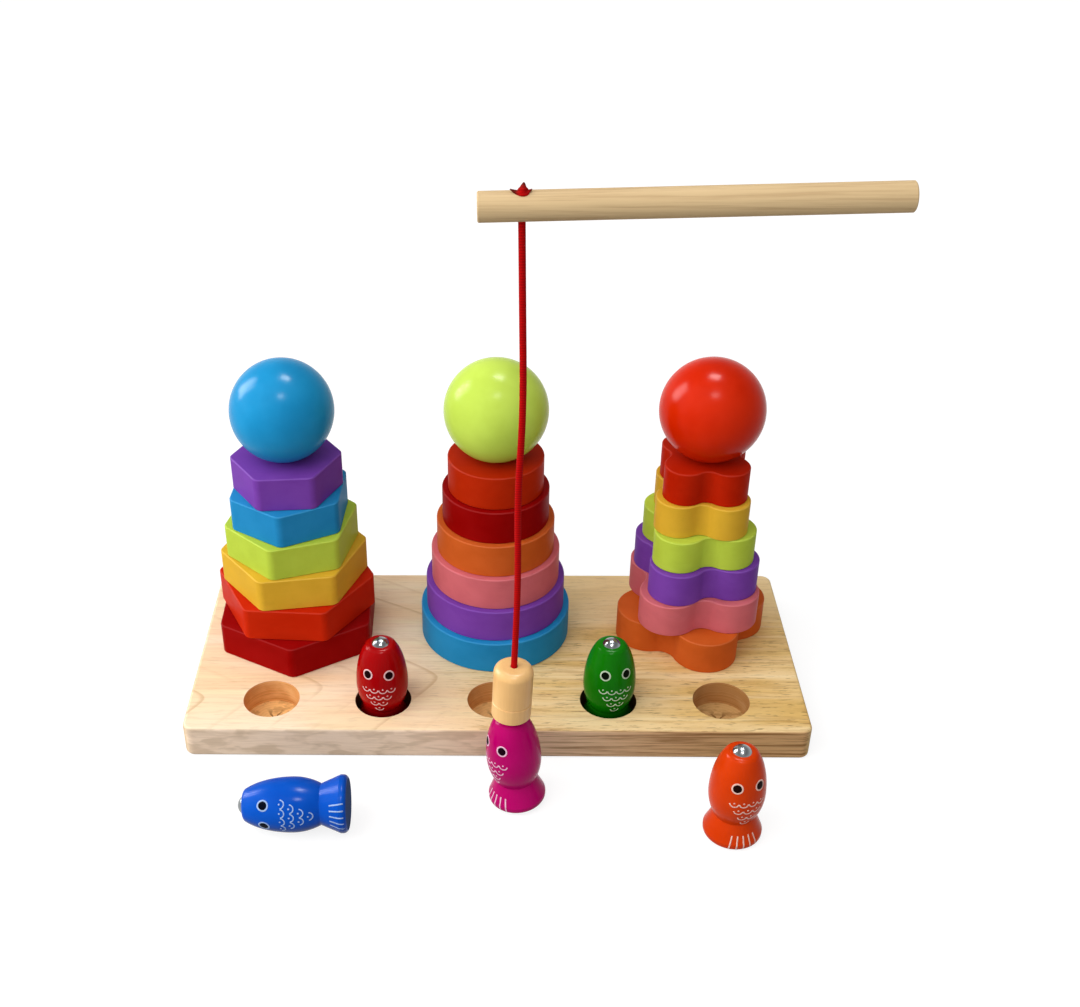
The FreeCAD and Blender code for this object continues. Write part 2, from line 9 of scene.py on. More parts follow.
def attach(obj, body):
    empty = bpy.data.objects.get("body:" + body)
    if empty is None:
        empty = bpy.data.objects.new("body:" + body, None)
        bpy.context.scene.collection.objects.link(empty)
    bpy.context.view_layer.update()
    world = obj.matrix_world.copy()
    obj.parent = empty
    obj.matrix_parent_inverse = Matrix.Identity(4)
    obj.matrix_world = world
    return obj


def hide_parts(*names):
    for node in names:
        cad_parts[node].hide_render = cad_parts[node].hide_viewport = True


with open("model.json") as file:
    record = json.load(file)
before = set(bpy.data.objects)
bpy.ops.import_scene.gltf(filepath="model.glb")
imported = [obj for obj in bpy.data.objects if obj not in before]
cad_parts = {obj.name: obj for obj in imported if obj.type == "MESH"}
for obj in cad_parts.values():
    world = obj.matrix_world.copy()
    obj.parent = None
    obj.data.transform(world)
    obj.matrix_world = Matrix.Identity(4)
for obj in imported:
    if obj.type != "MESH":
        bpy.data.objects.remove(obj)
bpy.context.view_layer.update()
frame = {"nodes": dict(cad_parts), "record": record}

NODES = frame["nodes"]
MM = 0.001

# The photograph's frame in pixels, and the camera that was worked out for it, in millimetres and degrees.
PHOTO_WIDTH, PHOTO_HEIGHT = 1080, 1007
CAMERA_PLACE = (-4.254, -566.799, 460.374)
CAMERA_YAW, CAMERA_PITCH, CAMERA_ROLL = 1.8309, 33.918, -0.9231
FOCAL_PIXELS = 1401.617
OPTICAL_CENTRE = (449.8, 546.0)
SENSOR = 36.0

# The cord's route in metres, from the holder's knot up to the rod's.
CORD_ROUTE = (
    (0.007349, -0.0908, 0.07137),
    (0.0081, -0.0908, 0.093),
    (0.0087, -0.0908, 0.126),
    (0.0079, -0.0908, 0.164),
    (0.0097, -0.0908, 0.203),
    (0.0086, -0.0908, 0.248),
    (0.00764, -0.0908, 0.289799),
)
CORD_RADIUS = 0.0014
BRAID_PITCH, BRAID_SLANT = 0.0011, 2600.0

# The rod's knot: where its loose ends start to look frayed, and its strands as (x, y, z, radius) in millimetres.
KNOT_MIDDLE = (0.0083, -0.0930, 0.2899)
FRAYED_ABOVE = 0.2885
FRAYED_FROM, FRAYED_TO = 0.0012, 0.0034
STRAND_STEPS, STRAND_SIDES = 6, 12
KNOT_STRANDS = (
    ((7.64, -90.8, 288.6, 1.3), (7.7, -91.3, 289.8, 1.3), (7.9, -92.2, 290.2, 1.6), (8.1, -92.3, 291.0, 1.5),
     (8.2, -92.1, 291.9, 1.05), (8.3, -91.9, 292.7, 0.6), (8.35, -91.8, 293.2, 0.2)),
    ((10.2, -92.7, 289.5, 0.3), (9.5, -93.0, 289.4, 0.7), (8.6, -93.2, 289.4, 0.95), (7.5, -93.1, 289.4, 1.0),
     (6.3, -92.8, 289.5, 0.8), (5.3, -92.5, 289.8, 0.5)),
    ((8.6, -92.4, 289.9, 0.9), (9.6, -92.3, 289.9, 0.75), (10.5, -92.1, 290.3, 0.5), (11.3, -91.9, 290.8, 0.16)),
    ((7.2, -92.4, 289.9, 0.95), (6.0, -92.3, 289.8, 0.8), (4.7, -92.1, 290.2, 0.55), (3.5, -91.9, 290.8, 0.18)),
    ((6.9, -92.0, 290.1, 0.9), (7.3, -92.6, 290.9, 0.9), (8.6, -92.6, 291.1, 0.85), (9.2, -92.0, 290.4, 0.9)),
)

# The board's sockets, in metres: their pitch, row, radius with some room and floor, the board's top, the step
# of the cutter's rings, and the heights between which painted shade darkens a fish that stands in a socket.
SOCKET_PITCH = 0.0547
SOCKET_ROW = -0.0418
SOCKET_REACH = 0.01385
SOCKET_FLOOR = 0.0041
BOARD_TOP = 0.0171
CUTTER_STEP = 0.0017
SOCKET_SHADE_FROM, SOCKET_SHADE_TO = 0.0185, 0.0140

# The board's arched figure, in metres: the axis of its arches, their bluntness, pitch and start.
ARCH_SLOPE, ARCH_OFFSET = 0.146, -0.0213
ARCH_BLUNT = 0.004
ARCH_PITCH, ARCH_START = 0.0583, 0.3706

# A fish's outline in millimetres, from its tail up its axis.
FISH_LENGTH = 47.8
BELLY, BELLY_AT = 12.5, 25.0
NECK, NECK_AT = 9.3, 12.3
TAIL, TAIL_RIM, TAIL_EDGE = 13.1, 3.4, 2.2
HEAD_FLAT = 6.6

# Each fish: the middle of its tail's end in millimetres, its tilt about +Y and the way that it faces, in degrees.
LYING_DIP = math.degrees(math.asin((TAIL - BELLY) / (BELLY_AT - TAIL_RIM)))
FISH = {
    "red": ((-54.7, -41.8, 4.1), 0.0, -94.6),
    "green": ((54.7, -41.8, 4.1), 0.0, -79.5),
    "orange": ((106.1, -111.5, 0.0), 0.0, -75.6),
    "pink": ((10.1, -90.8, 0.881), -4.6, -142.0),
    "blue": ((-66.2, -109.7, 13.189), -(90.0 + LYING_DIP), -75.4),
}

# Where each fish's print lies up its axis in millimetres: its eyes, its top row of scales, and the rows' step.
PRINT_LEVELS = {
    "red": (36.2, 28.9, 3.95),
    "green": (36.7, 28.9, 3.95),
    "orange": (35.8, 28.1, 4.07),
    "pink": (36.5, 28.9, 3.95),
    "blue": (37.2, 29.6, 4.2),
}

# The print's fineness, its place on the skin in degrees, its sizes in millimetres, and its lower and upper face.
RING_STEPS, BAND_STEPS, DOT_STEPS, ARC_STEPS = 40, 3, 14, 12
EYE_APART, EYE_RADIUS, PUPIL_RADIUS, PUPIL_LAP = 27.0, 2.65, 1.93, 0.05
SCALE_COUNTS = (4, 3, 2, 1)
SCALE_APART, SCALE_RADIUS, SCALE_LINE, SCALE_DOT = 19.6, 2.0, 0.54, 0.42
SCALE_START, SCALE_SWEEP, SCALE_STRETCH = 190.0, 160.0, 1.05
TAIL_LINES = ((-25.0, -29.0), (-12.5, -14.5), (0.0, 0.0), (12.5, 14.5), (25.0, 29.0))
TAIL_FROM, TAIL_TO, TAIL_LINE = 7.6, 1.1, 0.66
WHITE_FACES, BLACK_FACES = (-0.04, 0.045), (-0.03, 0.055)

# Paints and finishes, as sRGB colours.
RING_COLOURS = {
    "ring_blue": (0.14, 0.54, 0.77),
    "ring_crimson": (0.57, 0.01, 0.01),
    "ring_lime": (0.73, 0.82, 0.27),
    "ring_orange": (0.80, 0.36, 0.13),
    "ring_orange_red": (0.77, 0.14, 0.02),
    "ring_pink": (0.82, 0.41, 0.44),
    "ring_purple": (0.47, 0.25, 0.66),
    "ring_red": (0.73, 0.12, 0.01),
    "ring_vermilion": (0.72, 0.15, 0.02),
    "ring_yellow": (0.87, 0.68, 0.19),
}
BALL_COLOURS = {
    "ball_blue": (0.10, 0.57, 0.80),
    "ball_lime": (0.77, 0.88, 0.33),
    "ball_red": (0.83, 0.14, 0.0),
}
FISH_COLOURS = {
    "fish_blue": (0.0, 0.31, 0.76),
    "fish_red": (0.64, 0.0, 0.01),
    "fish_pink": (0.73, 0.0, 0.40),
    "fish_green": (0.04, 0.44, 0.0),
    "fish_orange": (0.83, 0.22, 0.0),
}
CORD_COLOUR = (0.74, 0.03, 0.04)
FRAYED_BROWN = (0.24, 0.11, 0.07)
# A greyer dark blue, painted shade on the lying fish's flat tail end.
TAIL_END_SHADE_BLUE = (0.20, 0.31, 0.50)
INK_WHITE, INK_BLACK = (0.97, 0.95, 0.95), (0.02, 0.01, 0.02)
WHITE_COVER, WHITE_COVER_BLUE, BLACK_COVER = 0.80, 0.68, 0.94
STEEL, MAGNET = (0.60, 0.62, 0.63), (0.62, 0.63, 0.65)
DOWEL_PALE, DOWEL_DARK = (0.90, 0.76, 0.55), (0.70, 0.52, 0.33)
ROD_PALE, ROD_DARK = (0.865, 0.75, 0.57), (0.68, 0.53, 0.37)
HOLDER_CREAM, HOLDER_GRAIN = (0.96, 0.77, 0.51), (0.80, 0.58, 0.36)
WOOD = {
    "left": (1.0, 0.905, 0.785),
    "right": (0.885, 0.735, 0.445),
    "stain": (0.93, 0.835, 0.61),
    "cloud left": (0.975, 0.835, 0.675),
    "cloud right": (0.95, 0.835, 0.62),
    "streak": (0.76, 0.58, 0.33),
    "fleck": (0.52, 0.35, 0.18),
    "shine": (1.0, 0.93, 0.76),
    # back: painted light, paler wood that lifts the towers' shadow at the back right of the top.
    "back": (1.0, 0.89, 0.69),
    "arch": (0.79, 0.62, 0.42),
    "edge left": (0.98, 0.88, 0.78),
    "edge right": (0.83, 0.66, 0.46),
    "edge fine": (0.70, 0.56, 0.40),
    "edge mark left": (0.74, 0.63, 0.50),
    "edge mark right": (0.52, 0.36, 0.20),
    "end": (0.86, 0.73, 0.55),
    "end pore": (0.66, 0.50, 0.33),
    "wall pale": (0.93, 0.70, 0.45),
    "wall dark": (0.80, 0.57, 0.33),
    "wall patch": (0.98, 0.80, 0.56),
    "floor": (0.985, 0.80, 0.53),
    "floor swirl": (0.74, 0.54, 0.32),
    "floor torn": (0.66, 0.47, 0.26),
    "floor star": (0.46, 0.30, 0.15),
    # Painted shade in the sockets' linings: towards the right, and round the two fish.
    "socket shade": (0.41, 0.27, 0.12),
    "fish shade": (0.12, 0.03, 0.02),
}

# The studio: how the sky's light leans, how bright it is overhead in gloss, and the floor.
WORLD_LIGHT = 0.47
WORLD_TILT = 0.75
WORLD_FROM = (-0.70, -0.40, 0.62)
CEILING_GLOSS = 0.35
CEILING_LOW, CEILING_HIGH = 0.05, 0.75
FLOOR_WHITE = 0.26
FLOOR_LIFT = 0.82
FLOOR_HALF, FLOOR_LEVEL = 8.0, -0.0002

# Lamps in metres and watts. A soft lamp: name, place, target, size, energy. A card: name, place, width, height,
# energy, and one target for all.
LAMP_COLOUR = (1.0, 0.985, 0.96)
SOFT_LAMPS = (
    ("key", (-1.05, -0.66, 1.45), (0, 0, 0.05), 1.7, 17.4),
    ("side", (-1.35, -0.22, 0.42), (-0.1, 0, 0.08), 0.7, 5.0),
)
GLOSS_CARDS = (
    ("window", (-1.25, 0.50, 0.75), 0.54, 0.86, 34.0),
    ("ceiling_back", (0.12, 0.35, 1.55), 0.42, 0.28, 28.0),
    ("ceiling_front", (0.05, -0.75, 1.40), 0.30, 0.22, 14.0),
)
CARDS_TARGET = (0, 0, 0.12)


def linear(colour):
    """An sRGB colour as the linear one with alpha that shaders take."""
    return tuple(c / 12.92 if c <= 0.04045 else ((c + 0.055) / 1.055) ** 2.4 for c in colour) + (1.0,)


def scaled(colour, share):
    return tuple(share * c for c in colour)


def paled(colour, share):
    return tuple(c + (1.0 - c) * share for c in colour)


def make_camera():
    yaw, pitch, roll = (math.radians(a) for a in (CAMERA_YAW, CAMERA_PITCH, CAMERA_ROLL))
    back = Vector((math.sin(yaw) * math.cos(pitch), -math.cos(yaw) * math.cos(pitch), math.sin(pitch)))
    right = (-back).cross(Vector((0, 0, 1))).normalized()
    up = right.cross(-back)
    turned_right = math.cos(roll) * right + math.sin(roll) * up
    turned_up = -math.sin(roll) * right + math.cos(roll) * up
    data = bpy.data.cameras.new("photo_camera")
    data.sensor_fit = "HORIZONTAL"
    data.sensor_width = SENSOR
    data.lens = FOCAL_PIXELS / PHOTO_WIDTH * SENSOR
    data.shift_x = (PHOTO_WIDTH / 2 - OPTICAL_CENTRE[0]) / PHOTO_WIDTH
    data.shift_y = (OPTICAL_CENTRE[1] - PHOTO_HEIGHT / 2) / PHOTO_WIDTH
    data.clip_start = 0.01
    camera = bpy.data.objects.new("photo_camera", data)
    bpy.context.scene.collection.objects.link(camera)
    place = Matrix((turned_right, turned_up, back)).transposed().to_4x4()
    place.translation = Vector(CAMERA_PLACE) * MM
    camera.matrix_world = place
    bpy.context.scene.camera = camera


class Graph:
    """The nodes of one material, with short calls to add them."""

    def __init__(self, name, **settings):
        self.material = bpy.data.materials.new(name)
        self.material.use_nodes = True
        self.tree = self.material.node_tree
        self.tree.nodes.clear()
        self.output = self.tree.nodes.new("ShaderNodeOutputMaterial")
        self.shader = self.tree.nodes.new("ShaderNodeBsdfPrincipled")
        self.tree.links.new(self.shader.outputs[0], self.output.inputs["Surface"])
        for key, value in settings.items():
            self.shader.inputs[key.replace("_", " ")].default_value = value

    def add(self, kind, inputs=None, **settings):
        made = self.tree.nodes.new("ShaderNode" + kind)
        for key, value in settings.items():
            setattr(made, key, value)
        for key, value in (inputs or {}).items():
            self.feed(made.inputs[key], value)
        return made

    def feed(self, socket, value):
        if isinstance(value, bpy.types.NodeSocket):
            self.tree.links.new(value, socket)
        else:
            socket.default_value = value

    def position(self):
        return self.add("TexCoord").outputs["Object"]

    def normal(self):
        return self.split(self.add("NewGeometry").outputs["True Normal"])

    def split(self, vector):
        return self.add("SeparateXYZ", {0: vector}).outputs

    def join(self, x, y, z):
        return self.add("CombineXYZ", {0: x, 1: y, 2: z}).outputs[0]

    def stretch(self, vector, scale, turn=(0, 0, 0), shift=(0, 0, 0)):
        inputs = {"Vector": vector, "Scale": scale, "Rotation": turn, "Location": shift}
        return self.add("Mapping", inputs).outputs[0]

    def maths(self, operation, a, b=0.0, c=0.0, clamp=False):
        return self.add("Math", {0: a, 1: b, 2: c}, operation=operation, use_clamp=clamp).outputs[0]

    def plus(self, a, b):
        return self.maths("ADD", a, b)

    def minus(self, a, b):
        return self.maths("SUBTRACT", a, b)

    def times(self, a, b):
        return self.maths("MULTIPLY", a, b)

    def size(self, a):
        return self.maths("ABSOLUTE", a)

    def noise(self, vector, detail=3.0, roughness=0.5, distortion=0.0):
        inputs = {"Vector": vector, "Scale": 1.0, "Detail": detail}
        inputs.update({"Roughness": roughness, "Distortion": distortion})
        return self.add("TexNoise", inputs).outputs[0]

    def grain(self, place, scale, detail=3.0, roughness=0.5):
        """Noise with its own scale along each axis."""
        return self.noise(self.stretch(place, scale), detail, roughness)

    def span(self, value, low, high, to_low=0.0, to_high=1.0):
        """A soft step from one level to another while the value goes from low to high."""
        inputs = {"Value": value, "From Min": low, "From Max": high, "To Min": to_low, "To Max": to_high}
        return self.add("MapRange", inputs, interpolation_type="SMOOTHSTEP").outputs[0]

    def mix(self, factor, a, b):
        made = self.add("Mix", data_type="RGBA", blend_type="MIX")
        for index, value in ((0, factor), (6, a), (7, b)):
            self.feed(made.inputs[index], value)
        return made.outputs[2]

    def tint(self, factor, base, colour):
        """The base with a colour laid over it."""
        return self.mix(factor, base, linear(colour))

    def between(self, factor, first, second):
        return self.mix(factor, linear(first), linear(second))

    def bump(self, height, distance, strength):
        made = self.add("Bump", {"Height": height, "Distance": distance, "Strength": strength})
        self.tree.links.new(made.outputs[0], self.shader.inputs["Normal"])

    def colour(self, value):
        self.feed(self.shader.inputs["Base Color"], value)

    def roughness(self, value):
        self.feed(self.shader.inputs["Roughness"], value)


def board_wood():
    """Light timber: paler and arched on the left, yellower and streaked on the right, brown in the sockets."""
    graph = Graph("board_wood", Specular_IOR_Level=0.03)
    place = graph.position()
    x, y, z = graph.split(place)
    sway = graph.grain(place, (9, 14, 14), 2.0)
    side = graph.span(graph.plus(x, graph.times(sway, 0.10)), -0.02, 0.10)
    base = graph.between(side, WOOD["left"], WOOD["right"])
    stain = graph.span(graph.noise(graph.stretch(place, (13, 19, 19), shift=(4, 2, 0)), 2.0), 0.42, 0.66)
    base = graph.tint(graph.times(stain, graph.span(side, 0.0, 1.0, 0.42, 0.25)), base, WOOD["stain"])
    cloud = graph.grain(place, (11, 60, 60))
    clouded = graph.between(side, WOOD["cloud left"], WOOD["cloud right"])
    base = graph.mix(graph.span(cloud, 0.38, 0.68), base, clouded)
    wave = graph.plus(y, graph.times(graph.grain(place, (14, 30, 30), 2.0), 0.008))
    line = graph.join(x, wave, z)
    streak = graph.span(graph.grain(line, (30, 540, 540), 6.0, 0.68), 0.46, 0.62)
    base = graph.tint(graph.times(streak, graph.span(side, 0.0, 1.0, 0.17, 0.50)), base, WOOD["streak"])
    fleck = graph.span(graph.grain(line, (110, 1050, 1050), 3.0, 0.62), 0.56, 0.66)
    base = graph.tint(graph.times(fleck, graph.span(side, 0.0, 1.0, 0.12, 0.62)), base, WOOD["fleck"])
    shine = graph.span(graph.grain(line, (8, 190, 190)), 0.52, 0.74)
    base = graph.tint(graph.times(shine, 0.40), base, WOOD["shine"])
    # Painted light: paler at the back right of the top, where it lifts the shadow that the towers cast.
    pale = graph.times(graph.span(wave, 0.012, 0.040), graph.span(x, -0.02, 0.02, 0.0, 0.75))
    base = graph.mix(pale, base, graph.mix(0.25, linear(WOOD["back"]), base))
    base = arched_figure(graph, base, (x, y), sway, side)
    base = edge_face(graph, base, place, x)
    base, wear = socket_inside(graph, base, (x, y, z), place)
    graph.colour(base)
    graph.roughness(graph.span(cloud, 0.3, 0.7, 0.46, 0.60))
    relief = graph.plus(graph.times(streak, 0.35), fleck)
    graph.bump(graph.plus(graph.times(relief, -1.0), wear), 0.00006, 0.6)
    return graph.material


def arched_figure(graph, base, place, sway, side):
    """Thin uneven arches that point right, as a board sawn near a log's heart shows them."""
    x, y = place
    off = graph.minus(y, graph.maths("MULTIPLY_ADD", x, ARCH_SLOPE, ARCH_OFFSET))
    square = graph.maths("MULTIPLY_ADD", off, off, ARCH_BLUNT**2)
    blunt = graph.minus(graph.maths("SQRT", square), ARCH_BLUNT)
    bend = graph.times(blunt, graph.span(off, -0.006, 0.006, 0.95, 1.35))
    reach = graph.plus(graph.plus(x, bend), graph.times(sway, 0.012))
    turn = graph.maths("FRACT", graph.times(graph.plus(reach, ARCH_START), 1 / ARCH_PITCH))
    dark = graph.times(graph.span(turn, 0.915, 0.966), graph.span(turn, 0.985, 0.969))
    again = graph.maths("FRACT", graph.plus(turn, 0.56))
    faint = graph.times(graph.span(again, 0.90, 0.96), graph.span(again, 0.985, 0.965))
    ring = graph.maths("ADD", dark, graph.times(faint, 0.45), clamp=True)
    spread = graph.join(graph.times(x, 30.0), graph.times(y, 26.0), 3.0)
    patch = graph.span(graph.noise(spread, 2.0), 0.32, 0.54)
    line = graph.times(graph.times(ring, patch), graph.span(side, 0.3, 0.95, 0.46, 0.0))
    return graph.tint(line, base, WOOD["arch"])


def edge_face(graph, base, place, x):
    """Duller narrow faces: slanting streaks at the left of the front one, browner level ones at its right."""
    facing = graph.normal()
    front = graph.span(graph.size(facing[1]), 0.6, 0.95)
    end = graph.span(graph.size(facing[0]), 0.6, 0.95)
    slant = graph.stretch(place, (70, 60, 210), turn=(0, math.radians(28), 0))
    streak = graph.span(graph.noise(slant, 2.0, 0.5, 0.6), 0.42, 0.66)
    fine = graph.noise(graph.stretch(place, (60, 60, 1200), turn=(0, math.radians(8), 0)), 3.0, 0.6)
    level = graph.span(graph.grain(place, (18, 200, 620), 4.0, 0.62), 0.42, 0.62)
    right = graph.span(x, -0.03, 0.05)
    mark = graph.mix(right, graph.times(streak, 0.55), level)
    dull = graph.between(graph.span(x, -0.06, 0.12), WOOD["edge left"], WOOD["edge right"])
    dull = graph.tint(graph.times(graph.span(fine, 0.45, 0.65), 0.18), dull, WOOD["edge fine"])
    marked = graph.between(right, WOOD["edge mark left"], WOOD["edge mark right"])
    dull = graph.mix(graph.times(mark, 0.80), dull, marked)
    base = graph.mix(front, base, dull)
    pores = graph.span(graph.grain(place, (900, 600, 900)), 0.42, 0.68)
    return graph.mix(end, base, graph.between(graph.times(pores, 0.3), WOOD["end"], WOOD["end pore"]))


def socket_inside(graph, base, place, vector):
    """Bored walls are browner and ringed, floors have the cutter's star marks, and painted shade darkens the
    linings towards the right and most round the two fish.
    """
    x, y, z = place
    shifted = graph.plus(x, 2.5 * SOCKET_PITCH)
    local = graph.minus(graph.maths("MODULO", shifted, SOCKET_PITCH), SOCKET_PITCH / 2)
    off = graph.minus(y, SOCKET_ROW)
    flat = graph.join(local, off, 0.0)
    radius = graph.add("VectorMath", {0: flat}, operation="LENGTH").outputs["Value"]
    within = graph.maths("LESS_THAN", radius, SOCKET_REACH)
    below = graph.maths("LESS_THAN", z, BOARD_TOP - 0.0002)
    above = graph.maths("GREATER_THAN", z, SOCKET_FLOOR - 0.0005)
    inside = graph.times(graph.times(within, below), above)
    floor = graph.maths("LESS_THAN", z, SOCKET_FLOOR + 0.0003)
    rings = graph.noise(graph.join(0.0, 0.0, graph.times(z, 1500.0)), 2.0)
    wall = graph.between(graph.span(rings, 0.35, 0.65), WOOD["wall pale"], WOOD["wall dark"])
    patch = graph.span(graph.grain(vector, (90, 90, 160)), 0.4, 0.7)
    wall = graph.tint(graph.times(patch, 0.5), wall, WOOD["wall patch"])
    angle = graph.maths("ARCTAN2", off, local)
    wobble = graph.grain(vector, (400, 400, 400), 2.0)
    spokes = graph.maths("SINE", graph.plus(graph.times(angle, 6.0), graph.times(wobble, 4.0)))
    star = graph.times(graph.span(spokes, 0.35, 1.0), graph.span(radius, 0.0105, 0.002))
    swirl = graph.span(graph.maths("SINE", graph.times(radius, 2 * math.pi / CUTTER_STEP)), 0.4, 1.0)
    torn = graph.span(graph.grain(vector, (160, 330, 160), 4.0, 0.65), 0.46, 0.62)
    ground = graph.between(graph.times(swirl, 0.18), WOOD["floor"], WOOD["floor swirl"])
    ground = graph.tint(graph.times(torn, 0.45), ground, WOOD["floor torn"])
    ground = graph.tint(graph.times(star, 0.85), ground, WOOD["floor star"])
    lining = graph.mix(floor, wall, ground)
    # Painted shade: the linings darken towards the right.
    lining = graph.tint(graph.span(x, -0.08, 0.10, 0.0, 0.40), lining, WOOD["socket shade"])
    # Painted shade: the linings round the red and green fish are nearly black.
    beside = graph.size(graph.minus(graph.size(x), SOCKET_PITCH))
    shaded = graph.times(graph.maths("LESS_THAN", beside, SOCKET_PITCH / 2), 0.88)
    lining = graph.tint(shaded, lining, WOOD["fish shade"])
    wear = graph.times(graph.plus(star, graph.times(swirl, 0.4)), graph.times(inside, -2.0))
    return graph.mix(inside, base, lining), wear


def turned_wood(name, pale, dark, axis):
    """Plain dowel wood with its grain along an axis, and pores on its sawn ends."""
    graph = Graph(name, Specular_IOR_Level=0.03)
    place = graph.position()
    turn = (0, math.radians(90), 0) if axis == 2 else (0, 0, 0)
    line = graph.stretch(place, (1, 1, 1), turn=turn)
    streak = graph.span(graph.grain(line, (18, 900, 900), 4.0, 0.6), 0.45, 0.72)
    cloud = graph.span(graph.grain(line, (10, 160, 160), 2.0), 0.35, 0.7)
    base = graph.between(cloud, pale, scaled(pale, 0.965))
    base = graph.tint(graph.times(streak, 0.45), base, dark)
    end = graph.span(graph.size(graph.normal()[axis]), 0.6, 0.95)
    pores = graph.span(graph.grain(place, (900, 900, 900)), 0.42, 0.62)
    graph.colour(graph.mix(end, base, graph.between(pores, scaled(pale, 0.93), dark)))
    graph.roughness(graph.span(cloud, 0.0, 1.0, 0.5, 0.62))
    graph.bump(graph.times(streak, -1.0), 0.00004, 0.5)
    return graph.material


def lacquered_wood(name, colour):
    """Clear gloss over pale wood: its grain barely shows."""
    graph = Graph(name, Specular_IOR_Level=0.22)
    place = graph.position()
    streak = graph.span(graph.grain(place, (1500, 1500, 60)), 0.4, 0.7)
    cloud = graph.span(graph.grain(place, (90, 90, 50), 2.0), 0.3, 0.7)
    base = graph.between(cloud, colour, (colour[0] * 0.97, colour[1] * 0.95, colour[2] * 0.92))
    graph.colour(graph.tint(graph.times(streak, 0.10), base, HOLDER_GRAIN))
    graph.roughness(graph.span(cloud, 0.0, 1.0, 0.30, 0.38))
    graph.bump(cloud, 0.00005, 0.2)
    return graph.material


def ring_paint(name, colour):
    """Satin paint over wood: faint grain, and paler chamfered edges that are partly thin paint and partly a
    painted highlight.
    """
    graph = Graph(name, Specular_IOR_Level=0.02)
    place = graph.position()
    grain = graph.grain(place, (60, 700, 260), 3.0, 0.6)
    cloud = graph.span(graph.grain(place, (70, 70, 90)), 0.3, 0.7)
    base = graph.between(cloud, scaled(colour, 0.97), paled(colour, 0.02))
    base = graph.tint(graph.span(grain, 0.52, 0.75, 0.0, 0.10), base, scaled(colour, 0.8))
    rise = graph.size(graph.normal()[2])
    # Paler chamfered edges: partly thin paint, partly a painted highlight.
    edge_wear_and_highlight = graph.times(graph.span(rise, 0.35, 0.55), graph.span(rise, 0.92, 0.80))
    graph.colour(graph.tint(graph.times(edge_wear_and_highlight, 0.08), base, paled(colour, 0.40)))
    graph.roughness(graph.span(cloud, 0.0, 1.0, 0.40, 0.50))
    graph.bump(grain, 0.00008, 0.35)
    return graph.material


def gloss_paint(name, colour, roughness, socket_shaded=False, lying=False):
    """Thick gloss paint with a slightly uneven skin.

    It has painted shade in a socket, towards its floor, and on the lying fish painted shade below and a greyer
    painted shade on the flat tail end, which is also rougher.
    """
    graph = Graph(name, Specular_IOR_Level=0.055)
    place = graph.position()
    cloud = graph.span(graph.grain(place, (55, 55, 55)), 0.3, 0.7)
    skin = graph.grain(place, (160, 160, 160), 2.0)
    base = graph.between(cloud, scaled(colour, 0.96), paled(colour, 0.03))
    sheen = graph.span(cloud, 0.0, 1.0, roughness, roughness + 0.06)
    if socket_shaded:
        # Painted shade: the paint darkens from just above the board's top down into the socket.
        painted_socket_shade = graph.span(graph.split(place)[2], SOCKET_SHADE_FROM, SOCKET_SHADE_TO, 0.0, 0.72)
        base = graph.tint(painted_socket_shade, base, scaled(colour, 0.22))
    if lying:
        facing = graph.normal()
        # Painted shade on the underside.
        below = graph.span(facing[2], 0.0, -0.75, 0.0, 0.75)
        base = graph.tint(below, base, scaled(colour, 0.3))
        # Painted shade: the flat tail end is a greyer dark blue, and rougher.
        flat = graph.span(facing[0], 0.90, 0.98)
        base = graph.tint(flat, base, TAIL_END_SHADE_BLUE)
        sheen = graph.plus(sheen, graph.times(flat, 0.6))
    graph.colour(base)
    graph.roughness(sheen)
    graph.bump(skin, 0.0001, 0.12)
    return graph.material


def bright_metal(name, colour, roughness):
    graph = Graph(name, Metallic=1.0)
    place = graph.position()
    cloud = graph.grain(place, (300, 300, 300))
    graph.colour(graph.between(graph.span(cloud, 0.3, 0.7), colour, scaled(colour, 0.88)))
    graph.roughness(graph.span(cloud, 0.3, 0.7, roughness, roughness + 0.08))
    graph.bump(graph.grain(place, (420, 420, 420), 1.0), 0.00005, 0.15)
    return graph.material


def braided_cord(name, colour):
    """Cord with a fine braid that runs in chevrons up its length, browner at the rod knot's frayed ends."""
    graph = Graph(name, Specular_IOR_Level=0.02, Sheen_Weight=0.03, Sheen_Roughness=0.5)
    place = graph.position()
    _, y, z = graph.split(place)
    phase = graph.plus(graph.times(z, 2 * math.pi / BRAID_PITCH), graph.times(y, BRAID_SLANT))
    plait = graph.span(graph.maths("SINE", phase), -1.0, 1.0)
    fuzz = graph.grain(place, (2500, 2500, 1400))
    base = graph.between(plait, scaled(colour, 0.90), scaled(colour, 1.05))
    base = graph.tint(graph.span(fuzz, 0.4, 0.8, 0.0, 0.35), base, scaled(colour, 0.8))
    off = graph.add("VectorMath", {0: place, 1: KNOT_MIDDLE}, operation="DISTANCE").outputs["Value"]
    high = graph.maths("GREATER_THAN", z, FRAYED_ABOVE)
    frayed = graph.times(graph.span(off, FRAYED_FROM, FRAYED_TO), high)
    graph.colour(graph.tint(graph.times(frayed, 0.85), base, FRAYED_BROWN))
    graph.roughness(graph.span(fuzz, 0.3, 0.7, 0.6, 0.8))
    graph.bump(graph.plus(plait, fuzz), 0.0001, 0.4)
    return graph.material


def print_ink(name, colour, under, cover):
    """Thin printed ink that lets a share of the paint under it through."""
    graph = Graph(name, Specular_IOR_Level=0.02)
    cloud = graph.span(graph.grain(graph.position(), (1300, 1300, 1300), 2.0), 0.35, 0.7)
    thick = tuple(cover * c + (1.0 - cover) * u for c, u in zip(colour, under))
    thin = tuple((cover - 0.1) * c + (1.1 - cover) * u for c, u in zip(colour, under))
    graph.colour(graph.between(cloud, thick, thin))
    graph.roughness(graph.span(cloud, 0.0, 1.0, 0.35, 0.45))
    return graph.material


